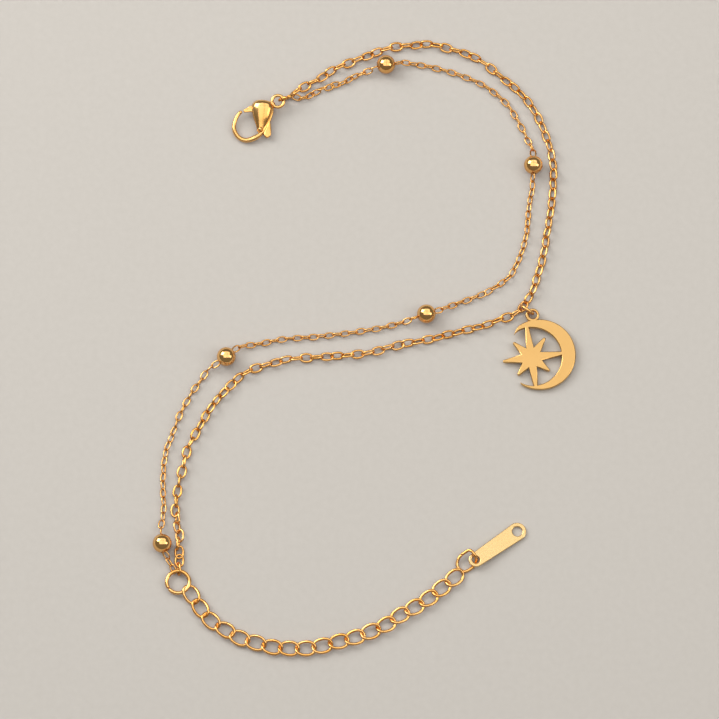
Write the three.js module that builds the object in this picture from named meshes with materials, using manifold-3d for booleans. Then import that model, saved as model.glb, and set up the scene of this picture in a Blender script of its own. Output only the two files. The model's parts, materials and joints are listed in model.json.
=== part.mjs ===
// Charm anklet: two fine chains on one clasp, five ball beads, a moon-and-star pendant,
// and a curb extension chain that ends in a blank tag. It lies open on a flat surface.
// Millimetres, +Z up, origin in the middle of the box that holds it, on the surface.

import * as THREE from 'three';
import * as BufferGeometryUtils from 'three/addons/utils/BufferGeometryUtils.js';
import Module from 'manifold-3d';

const wasm = await Module();
wasm.setup();

// ---- Driving dimensions ----

// Chains, each as the tube that its links fill
const MAIN_CHAIN_WIDTH = 1.6;
const MAIN_CHAIN_STEPS = 32;
const BEAD_CHAIN_WIDTH = 1.1;
const BEAD_CHAIN_STEP = 2.6;
const EXTENSION_WIDTH = 2.9;
const EXTENSION_HEIGHT = 1.1;
const EXTENSION_STEPS = 24;

// Ball beads on the finer chain
const BEAD_RADIUS = 1.7;
const BEAD_BORE_RADIUS = 0.45;

// Round jump rings, each a wire whose ends butt together
const RING_STEPS = 32;
const RING_SPLIT = 0.08;
const CLASP_RING_RADIUS = 1.35;
const CLASP_RING_WIRE = 0.25;
const PENDANT_RING_RADIUS = 1.28;
const PENDANT_RING_WIRE = 0.25;
const END_RING_RADIUS = 2.0;
const END_RING_WIRE = 0.34;
const TAG_LINK_WIRE = 0.21;

// Pendant: a crescent, a star and a loop cut from one plate
const PLATE_THICKNESS = 0.9;
const MOON_RADIUS = 6.45;
const MOON_HOLLOW_RADIUS = 5.3;
const MOON_HOLLOW = [-1.38, -0.4];
const MOON_UPPER_TIP = [-4.52, 3.68];
const MOON_LOWER_TIP = [-3.42, -5.14];
const STAR_CENTRE = [-1.47, -0.56];
const STAR_WAIST = 1.95;
// Each ray's direction in degrees, its reach and half its tip's width; three end in the moon
const STAR_RAYS = [
  [8, 5.9, 0.38], [56, 4.38, 0.27], [98, 5.9, 0.38], [139.5, 4.25, 0.27],
  [188, 5.15, 0.27], [233, 4.05, 0.27], [278, 5.65, 0.38], [323, 4.05, 0.27],
];
const LOOP = [-1.24, 7.22];
const LOOP_RADIUS = 1.25;
const LOOP_HOLE = [-1.16, 7.26];
const LOOP_HOLE_RADIUS = 0.7;

// Tag: a tapered plate with round ends, each with a hole
const TAG_THICKNESS = 0.5;
const TAG_LENGTH = 9.1;
const TAG_NEAR_RADIUS = 1.3;
const TAG_NEAR_HOLE = 0.7;
const TAG_FAR_RADIUS = 1.6;
const TAG_FAR_HOLE = 0.9;

// Clasp, measured from its pivot in its own plane
const SHELL_LENGTH = 5.45;
const SHELL_FLATNESS = 0.66;
const SHELL_LEAN = THREE.MathUtils.degToRad(-4.5);
const HOOK_WIRE = 0.36;
const EAR_RADIUS = 0.75;
const EAR_HALF_HEIGHT = 0.85;
const HOOK_ROOT = [-1.0, -0.9];
const HOOK_ROOT_RADIUS = 0.46;
const SLOT_HALF_HEIGHT = 0.5;
const PIN_RADIUS = 0.22;
const EYE = [3.15, 5.15];
const EYE_RADIUS = 1.1;
const EYE_WIRE = 0.26;
const LEVER_THICKNESS = 0.44;
const LEVER_HOLE_RADIUS = 0.42;
const LEVER_KNUCKLE_RADIUS = 0.72;

// ---- Places ----

// The middle of the laid-out anklet's box: the whole group is shifted to bring it to the origin
const LAYOUT_MIDDLE = [-0.24, 0.69];

const CLASP_PIVOT = [-19.15, 40.8, 1.1];
const CLASP_TILT = THREE.MathUtils.degToRad(8);
const CLASP_TILT_AXIS = new THREE.Vector3(0.81, -0.58, 0).normalize();
const CLASP_RING = [-14.5, 46.72, 1.6];
const CLASP_RING_ALONG = new THREE.Vector3(0.936, 0.35, 0).normalize();
const PENDANT = [30.85, -1.42, 0.82];
const PENDANT_TILT = THREE.MathUtils.degToRad(3.1);
const PENDANT_RING = [28.65, 6.78, 1.55];
const PENDANT_RING_ALONG = new THREE.Vector3(0.81, -0.59, 0).normalize();
const RING_LEAN = new THREE.Vector3(0, -0.276, 0.961);
const END_RING = [-33.3, -43.1, 0.78];
const TAG_NEAR = [19.25, -39.15, 1.0];
const TAG_TURN = THREE.MathUtils.degToRad(35.8);
const TAG_TILT = THREE.MathUtils.degToRad(4.0);

// Each bead's centre, and the direction of its bore in the plane of the surface
const BEADS = [
  { place: [3.5, 53.0, 1.7], bore: 12 },
  { place: [30.0, 33.9, 1.7], bore: 92 },
  { place: [10.65, 5.95, 1.7], bore: 18 },
  { place: [-25.05, -2.0, 1.7], bore: 38 },
  { place: [-36.15, -36.3, 1.7], bore: 100 },
];

// Routes, as x, y and the height of the middle of the chain
const MAIN_CLASP_SIDE = [
  [-12.75, 48.2, 0.8], [-10.6, 49.5, 0.8], [-8.4, 50.7, 0.8], [-5.6, 52.6, 0.8], [-2.1, 54.1, 0.8],
  [1.2, 55.4, 0.8], [4.5, 56.6, 0.8], [8.0, 56.95, 0.8], [11.6, 57.2, 0.8], [15.0, 56.35, 0.8],
  [18.4, 55.2, 0.8], [21.5, 53.4, 0.8], [24.2, 51.0, 0.8], [27.0, 48.6, 0.8], [29.4, 45.85, 0.8],
  [31.2, 42.75, 0.8], [32.5, 39.3, 0.8], [33.45, 35.5, 0.8], [33.65, 31.9, 0.8], [33.4, 28.2, 0.8],
  [32.95, 24.6, 0.8], [32.3, 20.7, 0.8], [31.65, 17.1, 0.8], [30.7, 13.5, 0.8], [29.5, 10.1, 0.8],
  [28.7, 8.7, 0.8],
];
const MAIN_TAIL_SIDE = [
  [27.0, 6.6, 0.8], [25.7, 5.8, 0.8], [24.0, 5.25, 0.8], [21.6, 4.25, 0.8], [18.1, 3.35, 0.8],
  [14.6, 2.4, 0.8], [10.95, 1.45, 0.8], [7.5, 0.8, 0.8], [3.85, -0.05, 0.8], [0.4, -1.0, 0.8],
  [-3.2, -1.45, 0.8], [-6.9, -1.7, 0.8], [-10.3, -1.95, 0.8], [-13.9, -2.2, 0.8], [-17.2, -3.1, 0.8],
  [-20.7, -4.3, 0.8], [-23.4, -6.15, 0.8], [-25.95, -8.85, 0.8], [-28.2, -11.9, 0.8], [-30.0, -15.2, 0.8],
  [-31.7, -18.5, 0.8], [-32.65, -22.15, 0.8], [-33.45, -25.7, 0.8], [-33.9, -29.3, 0.8],
  [-33.55, -32.3, 0.8], [-33.25, -34.7, 0.8], [-33.25, -36.6, 0.8], [-33.4, -38.6, 0.8],
  [-33.5, -40.3, 0.8],
];
const BEAD_CHAIN = [
  [
    [-11.5, 46.95, 0.6], [-10.4, 47.45, 0.6], [-9.2, 48.2, 0.6], [-7.9, 48.75, 0.6],
    [-6.3, 49.35, 0.6], [-4.5, 49.75, 0.6], [-2.5, 50.95, 0.65], [-1.3, 51.5, 0.8],
    [-0.1, 51.95, 1.15], [1.5, 52.5, 1.5],
  ],
  [
    [5.5, 53.35, 1.5], [6.95, 53.6, 1.05], [8.35, 53.45, 0.7], [9.7, 53.25, 0.6],
    [12.45, 52.7, 0.6], [15.35, 51.85, 0.6], [18.05, 50.9, 0.6], [20.65, 49.7, 0.6],
    [23.05, 48.05, 0.6], [25.3, 45.9, 0.6], [26.85, 43.45, 0.6], [28.3, 40.75, 0.6],
    [28.85, 39.5, 0.6], [29.4, 38.2, 0.8], [29.85, 37.2, 1.1], [29.95, 36.05, 1.5],
  ],
  [
    [29.9, 31.8, 1.5], [29.85, 30.4, 0.95], [29.6, 28.7, 0.6], [29.3, 27.1, 0.6],
    [29.0, 24.1, 0.6], [28.7, 21.2, 0.6], [28.0, 18.5, 0.6], [26.9, 15.6, 0.6],
    [25.4, 13.1, 0.6], [23.1, 11.3, 0.6], [20.6, 9.9, 0.6], [17.9, 8.85, 0.6],
    [16.4, 8.3, 0.6], [15.1, 7.75, 0.8], [13.9, 7.2, 1.1], [12.65, 6.65, 1.5],
  ],
  [
    [8.65, 5.3, 1.5], [7.2, 4.85, 0.95], [5.6, 4.45, 0.6], [3.75, 3.95, 0.6],
    [0.9, 3.4, 0.6], [-1.95, 2.9, 0.6], [-4.85, 2.5, 0.6], [-7.7, 2.2, 0.6],
    [-10.6, 1.9, 0.6], [-13.5, 1.75, 0.6], [-16.0, 1.4, 0.6], [-18.7, 0.8, 0.6],
    [-20.4, 0.5, 0.6], [-21.6, 0.3, 0.8], [-22.7, -0.05, 1.15], [-23.5, -0.6, 1.5],
  ],
  [
    [-26.75, -3.2, 1.5], [-27.8, -3.85, 1.1], [-28.6, -4.6, 0.75], [-29.35, -5.7, 0.6],
    [-31.0, -8.1, 0.6], [-32.4, -10.6, 0.6], [-33.6, -13.3, 0.6], [-34.6, -16.1, 0.6],
    [-35.55, -18.8, 0.6], [-36.0, -21.6, 0.6], [-36.15, -24.5, 0.6], [-36.1, -27.2, 0.6],
    [-36.0, -29.7, 0.6], [-36.15, -31.4, 0.75], [-36.35, -32.9, 1.1], [-36.35, -34.15, 1.5],
  ],
  [
    [-35.45, -38.3, 1.4], [-35.2, -38.8, 1.1], [-35.0, -39.3, 0.8],
  ],
];
const EXTENSION = [
  [-31.25, -44.95, 0.55], [-29.35, -47.7, 0.55], [-27.45, -50.1, 0.55], [-24.9, -51.75, 0.55],
  [-22.35, -53.2, 0.55], [-19.45, -54.1, 0.55], [-16.6, -54.85, 0.55], [-13.7, -55.1, 0.55],
  [-11.0, -55.1, 0.55], [-8.1, -54.7, 0.55], [-5.15, -53.95, 0.55], [-2.25, -53.15, 0.55],
  [0.5, -52.1, 0.55], [3.45, -50.8, 0.55], [5.85, -49.15, 0.55], [8.5, -47.6, 0.55],
  [10.95, -46.0, 0.55], [13.4, -44.1, 0.55], [15.9, -42.0, 0.55],
];

// The tag's link, as steps from the middle of the tag's near hole: it comes over the tag's
// rim, drops through the hole and runs back under the rim
const TAG_LINK = [
  [-2.38, 1.05, 0.0], [-1.32, 1.62, 0.45], [-0.7, 1.35, 0.78], [-0.2, 0.68, 0.72],
  [0.06, 0.08, 0.0], [-0.12, -0.6, -0.7], [-0.6, -1.2, -0.77], [-1.9, -1.95, -0.76],
  [-2.9, -1.5, -0.74], [-3.32, -0.7, -0.6], [-3.12, 0.2, -0.35], [-2.66, 0.82, -0.12],
];

// Clasp outlines, from the pivot
const SHELL_PROFILE = [
  [0.0, -0.45], [0.42, -0.32], [0.72, 0.1], [1.28, 1.0], [1.72, 2.2], [2.05, 3.4],
  [2.08, 4.2], [1.78, 4.8], [1.1, 5.25], [0.45, 5.42], [0.0, SHELL_LENGTH],
];
const HOOK_ROUTE = [
  [-0.85, -0.7], [-1.35, -1.22], [-2.0, -1.62], [-2.7, -1.78], [-3.45, -1.62], [-4.15, -1.12],
  [-4.65, -0.35], [-4.8, 0.5], [-4.68, 1.4], [-4.33, 2.3], [-3.85, 3.0], [-3.45, 3.38],
];
const SLOT_OUTLINE = [
  [-3.0, 1.6], [-0.8, 0.9], [-0.95, 0.1], [-0.6, -0.75], [0.2, -1.3], [3.0, -1.3], [3.0, 1.9],
  [1.3, 1.9], [1.25, 4.6], [0.7, 5.0], [-3.0, 5.0],
];
const LEVER_OUTLINE = [
  [-0.45, 0.55], [-1.15, 2.6], [-1.85, 3.3], [-3.05, 3.42], [-3.1, 3.75], [-1.8, 4.5], [-1.1, 4.35],
  [-0.35, 3.1], [0.4, 0.85], [1.2, 1.3], [1.6, 1.15], [1.85, 0.0], [1.88, -0.85], [1.58, -1.4],
  [1.1, -1.52], [0.66, -1.15], [0.5, -0.65],
];

// ---- Materials ----

const polished = new THREE.MeshStandardMaterial({ color: 0xe3a55a, roughness: 0.18, metalness: 1 });
const wire = new THREE.MeshStandardMaterial({ color: 0xdb9a4e, roughness: 0.24, metalness: 1 });
const satin = new THREE.MeshStandardMaterial({ color: 0xf0be74, roughness: 0.42, metalness: 1 });
const blankTag = new THREE.MeshStandardMaterial({ color: 0xf4cf8e, roughness: 0.34, metalness: 1 });

// ---- Solids and joins ----

function solidOf(geometry) {
  const bare = new THREE.BufferGeometry();
  bare.setAttribute('position', geometry.attributes.position.clone());
  if (geometry.index) bare.setIndex(geometry.index.clone());
  const merged = BufferGeometryUtils.mergeVertices(bare, 1e-4);
  return new wasm.Manifold(new wasm.Mesh({
    numProp: 3,
    vertProperties: new Float32Array(merged.attributes.position.array),
    triVerts: new Uint32Array(merged.index.array),
  }));
}

function geometryOf(solid) {
  const mesh = solid.getMesh();
  const geometry = new THREE.BufferGeometry();
  geometry.setAttribute('position', new THREE.BufferAttribute(mesh.vertProperties, 3));
  geometry.setIndex(new THREE.BufferAttribute(mesh.triVerts, 1));
  geometry.computeVertexNormals();
  return geometry;
}

function named(name, geometry, material) {
  const mesh = new THREE.Mesh(geometry, material);
  mesh.name = name;
  return mesh;
}

// ---- Wires and chains ----

// A section with flat faces above, below and at its sides: first its height, then its width
function section(height, width, sides) {
  const shape = new THREE.Shape();
  const corner = 1 / Math.cos(Math.PI / sides);
  for (let i = 0; i < sides; i += 1) {
    const angle = (i + 0.5) * 2 * Math.PI / sides;
    const across = Math.cos(angle) * corner * height / 2;
    const along = Math.sin(angle) * corner * width / 2;
    if (i === 0) shape.moveTo(across, along);
    else shape.lineTo(across, along);
  }
  shape.closePath();
  return shape;
}

function tube(route, shape, steps) {
  const path = new THREE.CatmullRomCurve3(route.map((point) => new THREE.Vector3(...point)));
  return new THREE.ExtrudeGeometry(shape, { steps, extrudePath: path, curveSegments: 1 });
}

// A jump ring in the plane of two unit directions, with its split where the turn starts
function jumpRing(centre, radius, wireRadius, along, upwards, splitTurn) {
  const middle = new THREE.Vector3(...centre);
  const half = RING_SPLIT / radius / 2;
  const points = [];
  for (let i = 0; i <= RING_STEPS; i += 1) {
    const turn = splitTurn + half + (2 * Math.PI - 2 * half) * i / RING_STEPS;
    const point = middle.clone();
    point.addScaledVector(along, radius * Math.cos(turn));
    point.addScaledVector(upwards, radius * Math.sin(turn));
    points.push(point.toArray());
  }
  return tube(points, section(2 * wireRadius, 2 * wireRadius, 8), RING_STEPS);
}

// The direction that makes a standing ring lean by the common lean, square to its own length
function leaning(along) {
  const lean = RING_LEAN.clone();
  lean.addScaledVector(along, -lean.dot(along));
  return lean.normalize();
}

// ---- Beads ----

function bead({ place, bore }, number) {
  const halfBore = Math.sqrt(BEAD_RADIUS ** 2 - BEAD_BORE_RADIUS ** 2);
  const start = Math.atan2(BEAD_BORE_RADIUS, halfBore);
  const profile = [];
  const steps = 10;
  for (let i = 0; i <= steps; i += 1) {
    const angle = start + (Math.PI - 2 * start) * i / steps;
    profile.push(new THREE.Vector2(BEAD_RADIUS * Math.sin(angle), -BEAD_RADIUS * Math.cos(angle)));
  }
  profile.push(profile[0].clone());
  const mesh = named(`bead_${number}`, new THREE.LatheGeometry(profile, 18), polished);
  mesh.position.set(...place);
  mesh.rotation.z = THREE.MathUtils.degToRad(bore - 90);
  return mesh;
}

// ---- Pendant ----

function plate(shape) {
  return new THREE.ExtrudeGeometry(shape, { depth: PLATE_THICKNESS, bevelEnabled: false, curveSegments: 28 });
}

function disc(x, y, radius) {
  const shape = new THREE.Shape();
  shape.absarc(x, y, radius, 0, 2 * Math.PI, false);
  return shape;
}

function through(shape) {
  const cut = new THREE.ExtrudeGeometry(shape, { depth: 3 * PLATE_THICKNESS, bevelEnabled: false, curveSegments: 24 });
  cut.translate(0, 0, -PLATE_THICKNESS);
  return solidOf(cut);
}

// Eight round-tipped rays round a waist: three of the long ones carry the star in the hollow
function starShape() {
  const shape = new THREE.Shape();
  STAR_RAYS.forEach(([degrees, reach, tip], i) => {
    const turn = THREE.MathUtils.degToRad(degrees);
    const nextDegrees = STAR_RAYS[(i + 1) % STAR_RAYS.length][0];
    const valley = turn + THREE.MathUtils.degToRad((nextDegrees - degrees + 360) % 360) / 2;
    shape.absarc(
      STAR_CENTRE[0] + (reach - tip) * Math.cos(turn),
      STAR_CENTRE[1] + (reach - tip) * Math.sin(turn),
      tip, turn - 1.43, turn + 1.43, false,
    );
    shape.lineTo(
      STAR_CENTRE[0] + STAR_WAIST * Math.cos(valley),
      STAR_CENTRE[1] + STAR_WAIST * Math.sin(valley),
    );
  });
  shape.closePath();
  return shape;
}

// The crescent: round outside and inside, with both tips drawn in towards the hollow
function moonShape() {
  const upperStart = THREE.MathUtils.degToRad(122);
  const lowerEnd = THREE.MathUtils.degToRad(-119);
  const hollowUpper = THREE.MathUtils.degToRad(105);
  const hollowLower = THREE.MathUtils.degToRad(-92);
  const shape = new THREE.Shape();
  shape.moveTo(...MOON_UPPER_TIP);
  shape.quadraticCurveTo(
    -4.2, 5.0, MOON_RADIUS * Math.cos(upperStart), MOON_RADIUS * Math.sin(upperStart),
  );
  shape.absarc(0, 0, MOON_RADIUS, upperStart, lowerEnd, true);
  shape.quadraticCurveTo(-3.42, -5.45, ...MOON_LOWER_TIP);
  shape.quadraticCurveTo(
    -2.5, -5.58,
    MOON_HOLLOW[0] + MOON_HOLLOW_RADIUS * Math.cos(hollowLower),
    MOON_HOLLOW[1] + MOON_HOLLOW_RADIUS * Math.sin(hollowLower),
  );
  shape.absarc(...MOON_HOLLOW, MOON_HOLLOW_RADIUS, hollowLower, hollowUpper, false);
  shape.quadraticCurveTo(-3.78, 4.48, ...MOON_UPPER_TIP);
  return shape;
}

function pendant() {
  const moon = solidOf(plate(moonShape()));
  const star = solidOf(plate(starShape()));
  const loop = solidOf(plate(disc(...LOOP, LOOP_RADIUS)));
  const hole = through(disc(...LOOP_HOLE, LOOP_HOLE_RADIUS));
  const geometry = geometryOf(moon.add(star).add(loop).subtract(hole));
  geometry.translate(0, 0, -PLATE_THICKNESS / 2);
  const mesh = named('moon_star_pendant', geometry, satin);
  mesh.position.set(...PENDANT);
  mesh.rotation.x = PENDANT_TILT;
  return mesh;
}

// ---- Tag ----

function tag() {
  const slope = Math.asin((TAG_FAR_RADIUS - TAG_NEAR_RADIUS) / TAG_LENGTH);
  const quarter = Math.PI / 2;
  const outline = new THREE.Shape();
  outline.absarc(0, 0, TAG_NEAR_RADIUS, quarter + slope, 3 * quarter - slope, false);
  outline.absarc(TAG_LENGTH, 0, TAG_FAR_RADIUS, -quarter - slope, quarter + slope, false);
  outline.closePath();
  for (const [x, radius] of [[0, TAG_NEAR_HOLE], [TAG_LENGTH, TAG_FAR_HOLE]]) {
    const hole = new THREE.Path();
    hole.absarc(x, 0, radius, 0, 2 * Math.PI, true);
    outline.holes.push(hole);
  }
  const geometry = new THREE.ExtrudeGeometry(outline, { depth: TAG_THICKNESS, bevelEnabled: false, curveSegments: 16 });
  geometry.translate(0, 0, -TAG_THICKNESS / 2);
  const mesh = named('tag', geometry, blankTag);
  mesh.rotation.y = TAG_TILT;
  const turned = new THREE.Group();
  turned.add(mesh);
  turned.position.set(...TAG_NEAR);
  turned.rotation.z = TAG_TURN;
  return turned;
}

function tagLink() {
  const route = TAG_LINK.map(([x, y, z]) => [TAG_NEAR[0] + x, TAG_NEAR[1] + y, TAG_NEAR[2] + z]);
  const shape = section(2 * TAG_LINK_WIRE, 2 * TAG_LINK_WIRE, 8);
  return named('tag_link', tube(route, shape, 36), wire);
}

// ---- Clasp ----

function slab(outline, halfHeight) {
  const shape = new THREE.Shape(outline.map(([x, y]) => new THREE.Vector2(x, y)));
  const geometry = new THREE.ExtrudeGeometry(shape, { depth: 2 * halfHeight, bevelEnabled: false });
  geometry.translate(0, 0, -halfHeight);
  return solidOf(geometry);
}

function post(x, y, radius, halfHeight) {
  const geometry = new THREE.CylinderGeometry(radius, radius, 2 * halfHeight, 20);
  geometry.rotateX(Math.PI / 2);
  geometry.translate(x, y, 0);
  return solidOf(geometry);
}

// The teardrop shell with its ears, slot, pivot pin, hook and eye, cast in one
function claspBody() {
  const shellProfile = SHELL_PROFILE.map((point) => new THREE.Vector2(...point));
  const shellGeometry = new THREE.LatheGeometry(shellProfile, 20);
  shellGeometry.scale(1, 1, SHELL_FLATNESS);
  shellGeometry.rotateZ(SHELL_LEAN);
  const shell = solidOf(shellGeometry);
  const ears = post(0, 0, EAR_RADIUS, EAR_HALF_HEIGHT);
  const root = post(...HOOK_ROOT, HOOK_ROOT_RADIUS, EAR_HALF_HEIGHT);
  const bridge = slab([[0.35, -0.6], [-0.6, 0.35], [-1.3, -0.5], [-0.75, -1.25]], EAR_HALF_HEIGHT);
  const slot = slab(SLOT_OUTLINE, SLOT_HALF_HEIGHT);
  const hookRoute = HOOK_ROUTE.map(([x, y]) => [x, y, 0]);
  const hook = solidOf(tube(hookRoute, section(2 * HOOK_WIRE, 2 * HOOK_WIRE, 10), 26));
  const eyeGeometry = new THREE.TorusGeometry(EYE_RADIUS, EYE_WIRE, 8, 22);
  eyeGeometry.translate(...EYE, 0);
  const eye = solidOf(eyeGeometry);
  const neck = slab([[1.2, 4.3], [2.1, 4.1], [2.5, 4.35], [2.15, 4.95], [1.5, 5.0]], EYE_WIRE);
  const pin = post(0, 0, PIN_RADIUS, EAR_HALF_HEIGHT);
  const cast = shell.add(ears).add(root).add(bridge).subtract(slot).add(hook).add(eye).add(neck).add(pin);
  return named('clasp_body', geometryOf(cast), polished);
}

// The sprung lever: gate at one end, thumb tab at the other, turning on the pin
function claspLever() {
  const arm = slab(LEVER_OUTLINE, LEVER_THICKNESS / 2);
  const knuckle = post(0, 0, LEVER_KNUCKLE_RADIUS, LEVER_THICKNESS / 2);
  const hole = post(0, 0, LEVER_HOLE_RADIUS, LEVER_THICKNESS);
  return named('clasp_lever', geometryOf(arm.add(knuckle).subtract(hole)), polished);
}

// ---- The anklet ----

const group = new THREE.Group();

const clasp = new THREE.Group();
clasp.position.set(...CLASP_PIVOT);
clasp.quaternion.setFromAxisAngle(CLASP_TILT_AXIS, CLASP_TILT);
clasp.add(claspBody(), claspLever());
group.add(clasp);

const claspRing = jumpRing(
  CLASP_RING, CLASP_RING_RADIUS, CLASP_RING_WIRE, CLASP_RING_ALONG, leaning(CLASP_RING_ALONG), Math.PI / 2,
);
group.add(named('clasp_ring', claspRing, wire));

const mainSection = section(MAIN_CHAIN_WIDTH, MAIN_CHAIN_WIDTH, 8);
group.add(named('main_chain_clasp_side', tube(MAIN_CLASP_SIDE, mainSection, MAIN_CHAIN_STEPS), wire));
group.add(named('main_chain_tail_side', tube(MAIN_TAIL_SIDE, mainSection, MAIN_CHAIN_STEPS), wire));

const beadSection = section(BEAD_CHAIN_WIDTH, BEAD_CHAIN_WIDTH, 8);
BEAD_CHAIN.forEach((route, index) => {
  const length = new THREE.CatmullRomCurve3(route.map((point) => new THREE.Vector3(...point))).getLength();
  const steps = Math.max(2, Math.round(length / BEAD_CHAIN_STEP));
  group.add(named(`bead_chain_${index + 1}`, tube(route, beadSection, steps), wire));
});
BEADS.forEach((entry, index) => group.add(bead(entry, index + 1)));

const pendantRing = jumpRing(
  PENDANT_RING, PENDANT_RING_RADIUS, PENDANT_RING_WIRE, PENDANT_RING_ALONG, leaning(PENDANT_RING_ALONG),
  -Math.PI / 2,
);
group.add(named('pendant_ring', pendantRing, wire));
group.add(pendant());

const flatAlong = new THREE.Vector3(1, 0, 0);
const flatAcross = new THREE.Vector3(0, 1, 0);
const endRing = jumpRing(END_RING, END_RING_RADIUS, END_RING_WIRE, flatAlong, flatAcross, Math.PI * 1.2);
group.add(named('end_ring', endRing, wire));

const extensionSection = section(EXTENSION_HEIGHT, EXTENSION_WIDTH, 8);
group.add(named('extension_chain', tube(EXTENSION, extensionSection, EXTENSION_STEPS), wire));
group.add(tagLink());
group.add(tag());

group.position.set(-LAYOUT_MIDDLE[0], -LAYOUT_MIDDLE[1], 0);
export default group;
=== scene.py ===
# Charm anklet, looks: two fine gold-plated chains on one lobster clasp, ball beads,
# a moon-and-star pendant, an extension chain and a bare tag, lying open on a pale surface.
import json
import math

import bmesh
import bpy
import numpy as np
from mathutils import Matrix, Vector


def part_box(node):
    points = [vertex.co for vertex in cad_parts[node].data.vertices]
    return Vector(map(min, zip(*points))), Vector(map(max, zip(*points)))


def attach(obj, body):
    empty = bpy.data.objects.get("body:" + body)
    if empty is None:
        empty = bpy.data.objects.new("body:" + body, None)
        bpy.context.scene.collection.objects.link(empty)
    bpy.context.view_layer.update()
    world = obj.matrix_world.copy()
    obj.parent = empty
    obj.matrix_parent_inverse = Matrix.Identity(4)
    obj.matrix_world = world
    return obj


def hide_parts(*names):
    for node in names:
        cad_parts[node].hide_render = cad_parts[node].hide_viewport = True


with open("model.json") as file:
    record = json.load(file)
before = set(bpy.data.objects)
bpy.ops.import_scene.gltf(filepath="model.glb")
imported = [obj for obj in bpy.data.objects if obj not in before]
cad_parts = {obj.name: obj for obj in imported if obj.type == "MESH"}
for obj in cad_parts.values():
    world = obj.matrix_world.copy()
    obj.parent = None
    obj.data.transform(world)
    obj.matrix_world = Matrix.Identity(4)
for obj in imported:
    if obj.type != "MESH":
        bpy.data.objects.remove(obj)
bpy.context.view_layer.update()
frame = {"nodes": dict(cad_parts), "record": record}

MM = 0.001

# ---- The surface, the light and the camera ----
# The anklet lies on a pale matt table top. Four soft panels hang side by side over it and
# one stands at each side, and the camera looks down steeply from the near side.

VIEW_MIDDLE = np.array([-1.06, -2.74, 0.0]) * MM
VIEW_DISTANCE = 1.0
VIEW_ELEVATION = math.radians(74)
LENS_MM = 280.4

camera_data = bpy.data.cameras.new("camera")
camera_data.sensor_width = 36.0
camera_data.lens = LENS_MM
camera = bpy.data.objects.new("camera", camera_data)
camera.location = VIEW_MIDDLE + VIEW_DISTANCE * np.array(
    [0.0, -math.cos(VIEW_ELEVATION), math.sin(VIEW_ELEVATION)]
)
camera.rotation_euler = (math.pi / 2 - VIEW_ELEVATION, 0.0, 0.0)
bpy.context.scene.collection.objects.link(camera)
bpy.context.scene.camera = camera
bpy.context.scene.view_settings.view_transform = "Standard"

TABLE_HALF = 1.5
TABLE_LEVEL = -0.00001
table_mesh = bpy.data.meshes.new("table_top")
table_mesh.from_pydata(
    [(x * TABLE_HALF, y * TABLE_HALF, TABLE_LEVEL) for x, y in ((-1, -1), (1, -1), (1, 1), (-1, 1))],
    [], [(0, 1, 2, 3)],
)
table_top = bpy.data.objects.new("table_top", table_mesh)
bpy.context.scene.collection.objects.link(table_top)


def started_material(name):
    """A new material: its nodes and links, its shader, and the object's own coordinates."""
    material = bpy.data.materials.new(name)
    material.use_nodes = True
    nodes, links = material.node_tree.nodes, material.node_tree.links
    where = nodes.new("ShaderNodeTexCoord").outputs["Object"]
    return material, nodes, links, nodes["Principled BSDF"], where


def noise(nodes, links, where, scale, detail):
    """Noise from 0 to 1 over the coordinates, with features one over the scale in size."""
    pattern = nodes.new("ShaderNodeTexNoise")
    pattern.inputs["Scale"].default_value = scale
    pattern.inputs["Detail"].default_value = detail
    links.new(where, pattern.inputs["Vector"])
    return pattern.outputs["Fac"]


def two_tones(nodes, links, amount, first, second):
    """The first colour mixed towards the second by an amount from 0 to 1."""
    tone = nodes.new("ShaderNodeMix")
    tone.data_type = "RGBA"
    tone.inputs["A"].default_value = (*first, 1)
    tone.inputs["B"].default_value = (*second, 1)
    links.new(amount, tone.inputs["Factor"])
    return tone.outputs["Result"]


def grained(nodes, links, shader, height, strength, depth):
    """Gives the shader's surface a bump of this depth in metres from a height pattern."""
    bump = nodes.new("ShaderNodeBump")
    bump.inputs["Strength"].default_value = strength
    bump.inputs["Distance"].default_value = depth
    links.new(height, bump.inputs["Height"])
    links.new(bump.outputs["Normal"], shader.inputs["Normal"])


TABLE_GRAIN = 900.0
TABLE_GRAIN_DEPTH = 0.0001


def table_material():
    """A pale matt paint: fine noise for its grain in colour and bump."""
    material, nodes, links, shader, where = started_material("pale_table")
    shader.inputs["Roughness"].default_value = 0.75
    grain = noise(nodes, links, where, TABLE_GRAIN, 4.0)
    tone = two_tones(nodes, links, grain, (0.52, 0.508, 0.492), (0.57, 0.558, 0.543))
    links.new(tone, shader.inputs["Base Color"])
    grained(nodes, links, shader, grain, 0.15, TABLE_GRAIN_DEPTH)
    return material


table_mesh.materials.append(table_material())

world = bpy.data.worlds.new("room")
world.use_nodes = True
world.node_tree.nodes["Background"].inputs["Color"].default_value = (1.0, 0.94, 0.86, 1)
world.node_tree.nodes["Background"].inputs["Strength"].default_value = 0.2
bpy.context.scene.world = world

PANEL_SIDE = 0.36
PANEL_GAP = 0.022
PANEL_HEIGHT = 0.44
PANEL_MIDDLE = (0.06, 0.14)
PANEL_WATTS = 0.56


def soft_panel(name, place, aim, side, watts, tint=(1.0, 0.96, 0.9)):
    """A square panel light at a place, turned to face a point."""
    data = bpy.data.lights.new(name, "AREA")
    data.shape = "SQUARE"
    data.size = side
    data.energy = watts
    data.color = tint
    light = bpy.data.objects.new(name, data)
    light.location = place
    away = np.asarray(place, float) - np.asarray(aim, float)
    light.rotation_euler = (
        math.atan2(math.hypot(away[0], away[1]), away[2]), 0.0, math.atan2(away[0], -away[1]),
    )
    light.visible_camera = False
    bpy.context.scene.collection.objects.link(light)


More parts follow.
